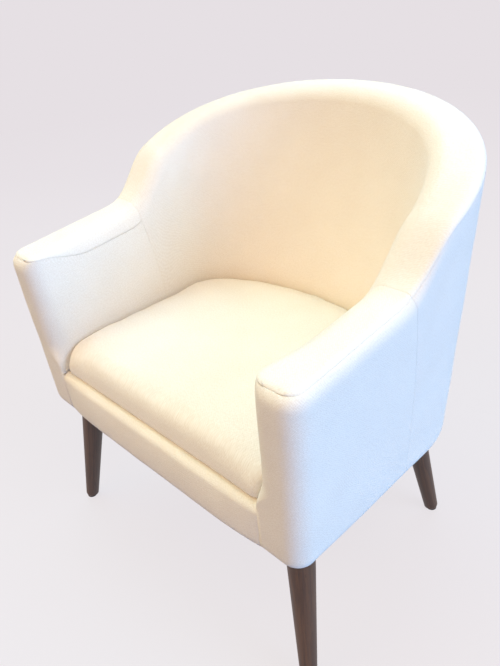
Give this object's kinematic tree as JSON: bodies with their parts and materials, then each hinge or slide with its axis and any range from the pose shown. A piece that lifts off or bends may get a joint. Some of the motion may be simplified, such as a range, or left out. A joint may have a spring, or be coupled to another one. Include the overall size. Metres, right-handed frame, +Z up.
{
  "type": "slipper chair",
  "caption": "Low upholstered tub chair with a curved back sweeping down into sloping arms, a loose crowned seat cushion and splayed tapered wooden legs.",
  "frame": {"origin": "on the floor under the middle of the chair's bounding box", "axes": "+Z up, the seat faces -Y, X runs across the seat; left and right are as seen from the front"},
  "size_m": [0.7004, 0.6098, 0.803],
  "materials": {
    "cream_fabric": "woven, matt",
    "foam": "matt",
    "wadding": "matt, fibrous",
    "felt": "matt, fibrous",
    "lining_cloth": "plain weave, matt",
    "dust_cloth": "non-woven, matt",
    "lining_board": "matt",
    "frame_beech": "sawn, matt",
    "spring_steel": "dull",
    "zinc_steel": "zinc plated",
    "brass": "satin",
    "walnut": "dark stain, satin lacquer",
    "glide_plastic": "matt"
  },
  "bodies": {
    "chair": {"inside_back_cover": "cream_fabric", "outside_back_cover": "cream_fabric", "left_arm_cover": "cream_fabric", "right_arm_cover": "cream_fabric", "left_arm_cap": "cream_fabric", "right_arm_cap": "cream_fabric", "front_band_cover": "cream_fabric", "dust_cover": "dust_cloth", "inside_back_foam": "foam", "outside_back_padding": "wadding", "back_top_pad": "foam", "left_arm_foam": "foam", "right_arm_foam": "foam", "left_arm_top_pad": "foam", "right_arm_top_pad": "foam", "front_band_padding": "foam", "seat_felt_pad": "felt", "seat_deck_cloth": "lining_cloth", "front_seat_rail": "frame_beech", "left_seat_rail": "frame_beech", "right_seat_rail": "frame_beech", "back_seat_rail": "frame_beech", "front_left_block": "frame_beech", "front_right_block": "frame_beech", "back_left_block": "frame_beech", "back_right_block": "frame_beech", "left_front_post": "frame_beech", "right_front_post": "frame_beech", "left_side_post": "frame_beech", "right_side_post": "frame_beech", "left_rear_post": "frame_beech", "right_rear_post": "frame_beech", "centre_back_post": "frame_beech", "left_arm_rail": "frame_beech", "right_arm_rail": "frame_beech", "top_back_rail": "frame_beech", "left_arm_board": "lining_board", "right_arm_board": "lining_board", "inside_back_board": "lining_board", "frame_dowels": "frame_beech", "left_outer_spring": "spring_steel", "left_inner_spring": "spring_steel", "right_inner_spring": "spring_steel", "right_outer_spring": "spring_steel", "spring_clips": "zinc_steel", "front_left_leg": "walnut", "front_right_leg": "walnut", "back_left_leg": "walnut", "back_right_leg": "walnut", "front_left_glide": "glide_plastic", "front_right_glide": "glide_plastic", "back_left_glide": "glide_plastic", "back_right_glide": "glide_plastic", "leg_bolts": "zinc_steel", "threaded_inserts": "brass"},
    "cushion": {"cushion_cover": "cream_fabric", "cushion_base": "cream_fabric", "cushion_core": "foam"}
  },
  "joints": [
    {"name": "cushion_lift", "type": "slide", "parent": "chair", "child": "cushion", "axis": [0, 0, 1], "range_m": [0, 0.45]}
  ]
}
